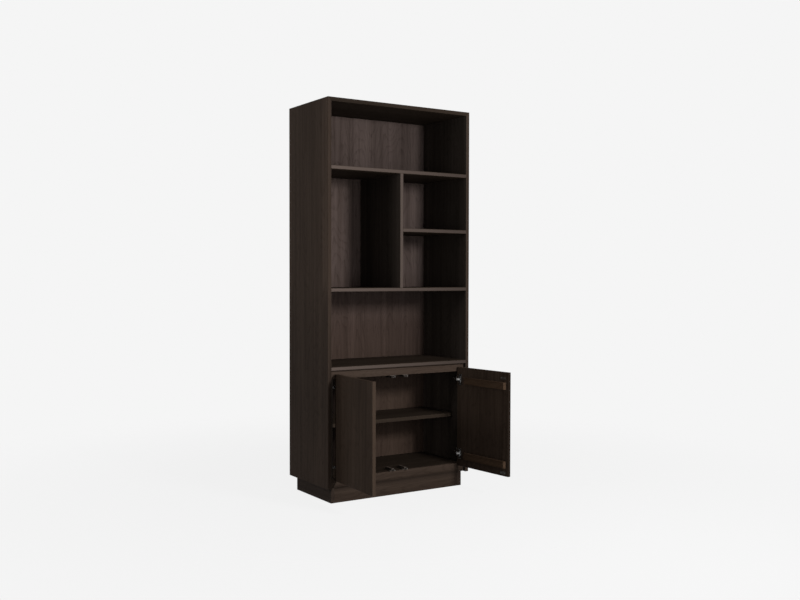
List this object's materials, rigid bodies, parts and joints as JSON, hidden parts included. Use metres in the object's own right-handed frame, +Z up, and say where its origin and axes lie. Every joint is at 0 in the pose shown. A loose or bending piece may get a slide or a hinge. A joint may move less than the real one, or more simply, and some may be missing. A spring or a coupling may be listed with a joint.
{
  "type": "bookcase with cabinet doors",
  "caption": "Tall dark-wood bookcase with open bays above a cabinet, hinged doors on cup hinges with push latches, and a recessed plinth.",
  "frame": {"origin": "on the floor under the centre of the carcass", "axes": "+Z up, front towards -Y, +X to the right seen from the front"},
  "size_m": [0.9, 0.8383, 2.1],
  "materials": {
    "side_wood": "dark stained veneer, satin lacquer",
    "shelf_wood": "dark stained veneer, satin lacquer",
    "post_wood": "dark stained veneer, satin lacquer",
    "back_wood": "dark stained veneer, satin lacquer",
    "frame_wood": "dark stained veneer, satin lacquer",
    "runner_wood": "dark stained veneer, satin lacquer",
    "door_wood": "dark stained veneer, satin lacquer",
    "batten_wood": "dark stained veneer, satin lacquer",
    "pale_wood": "bare beech",
    "peg_steel": "zinc plated",
    "screw_steel": "zinc plated",
    "bracket_steel": "zinc plated",
    "hinge_steel": "nickel plated",
    "pin_steel": "bright",
    "spring_steel": "bright",
    "strike_steel": "dark, satin",
    "latch_plastic": "moulded, satin",
    "plunger_plastic": "moulded, satin"
  },
  "bodies": {
    "carcass": {"back_panel": "back_wood", "back_screws": "screw_steel", "bottom_panel": "shelf_wood", "bottom_rail": "frame_wood", "cabinet_shelf": "shelf_wood", "cabinet_top": "shelf_wood", "divider": "post_wood", "dowels": "pale_wood", "header_rail": "frame_wood", "hinge_arm_pins": "pin_steel", "hinge_plates": "hinge_steel", "hinge_screws": "screw_steel", "latch_screws": "screw_steel", "latch_springs": "spring_steel", "left_cleat": "runner_wood", "left_hinge_arms": "hinge_steel", "left_lower_latch_housing": "latch_plastic", "left_side_panel": "side_wood", "left_stile": "post_wood", "left_upper_latch_housing": "latch_plastic", "middle_shelf": "shelf_wood", "plinth_back": "frame_wood", "plinth_centre_rail": "runner_wood", "plinth_corner_blocks": "pale_wood", "plinth_front": "frame_wood", "plinth_left": "runner_wood", "plinth_right": "runner_wood", "rear_cleat": "frame_wood", "right_cleat": "runner_wood", "right_hinge_arms": "hinge_steel", "right_lower_latch_housing": "latch_plastic", "right_side_panel": "side_wood", "right_stile": "post_wood", "right_upper_latch_housing": "latch_plastic", "shelf_pegs": "peg_steel", "small_shelf": "shelf_wood", "top_panel": "shelf_wood", "upper_shelf": "shelf_wood", "wall_brackets": "bracket_steel"},
    "left_links": {"left_hinge_links": "hinge_steel"},
    "left_door": {"left_door_panel": "door_wood", "left_upper_batten": "batten_wood", "left_lower_batten": "batten_wood", "left_hinge_cups": "hinge_steel", "left_hinge_pins": "pin_steel", "left_strike_plates": "strike_steel", "left_door_screws": "screw_steel"},
    "left_upper_plunger": {"left_upper_plunger": "plunger_plastic"},
    "left_lower_plunger": {"left_lower_plunger": "plunger_plastic"},
    "right_links": {"right_hinge_links": "hinge_steel"},
    "right_door": {"right_door_panel": "door_wood", "right_upper_batten": "batten_wood", "right_lower_batten": "batten_wood", "right_hinge_cups": "hinge_steel", "right_hinge_pins": "pin_steel", "right_strike_plates": "strike_steel", "right_door_screws": "screw_steel"},
    "right_upper_plunger": {"right_upper_plunger": "plunger_plastic"},
    "right_lower_plunger": {"right_lower_plunger": "plunger_plastic"}
  },
  "joints": [
    {"name": "left_link_pivot", "type": "hinge", "parent": "carcass", "child": "left_links", "pos_m": [-0.376, -0.2135, 0.3955], "axis": [0, 0, -1], "range_deg": [-1.77, 30.67]},
    {"name": "left_door_hinge", "type": "hinge", "parent": "left_links", "child": "left_door", "pos_m": [-0.39192, -0.22292, 0.3955], "axis": [0, 0, -1], "range_deg": [-123.42, 6.92]},
    {"name": "left_upper_plunger_slide", "type": "slide", "parent": "carcass", "child": "left_upper_plunger", "axis": [0, 1, 0], "range_m": [-0.00111, 0.01802], "deforming": ["latch_springs"]},
    {"name": "left_lower_plunger_slide", "type": "slide", "parent": "carcass", "child": "left_lower_plunger", "axis": [0, 1, 0], "range_m": [-0.00111, 0.01802], "deforming": ["latch_springs"]},
    {"name": "right_link_pivot", "type": "hinge", "parent": "carcass", "child": "right_links", "pos_m": [0.376, -0.2135, 0.3955], "axis": [0, 0, 1], "range_deg": [-1.01, 31.43]},
    {"name": "right_door_hinge", "type": "hinge", "parent": "right_links", "child": "right_door", "pos_m": [0.39179, -0.22313, 0.3955], "axis": [0, 0, 1], "range_deg": [-126.48, 3.86]},
    {"name": "right_upper_plunger_slide", "type": "slide", "parent": "carcass", "child": "right_upper_plunger", "axis": [0, 1, 0], "range_m": [-0.00065, 0.01802], "deforming": ["latch_springs"]},
    {"name": "right_lower_plunger_slide", "type": "slide", "parent": "carcass", "child": "right_lower_plunger", "axis": [0, 1, 0], "range_m": [-0.00065, 0.01802], "deforming": ["latch_springs"]}
  ],
  "couplings": [
    {"joint": "left_link_pivot", "follows": "left_door_hinge", "ratio": -0.24812},
    {"joint": "left_upper_plunger_slide", "follows": "left_door_hinge", "m_per_rad": -0.0083559},
    {"joint": "left_lower_plunger_slide", "follows": "left_door_hinge", "m_per_rad": -0.0083559},
    {"joint": "right_link_pivot", "follows": "right_door_hinge", "ratio": -0.24812},
    {"joint": "right_upper_plunger_slide", "follows": "right_door_hinge", "m_per_rad": -0.0081539},
    {"joint": "right_lower_plunger_slide", "follows": "right_door_hinge", "m_per_rad": -0.0081539}
  ]
}
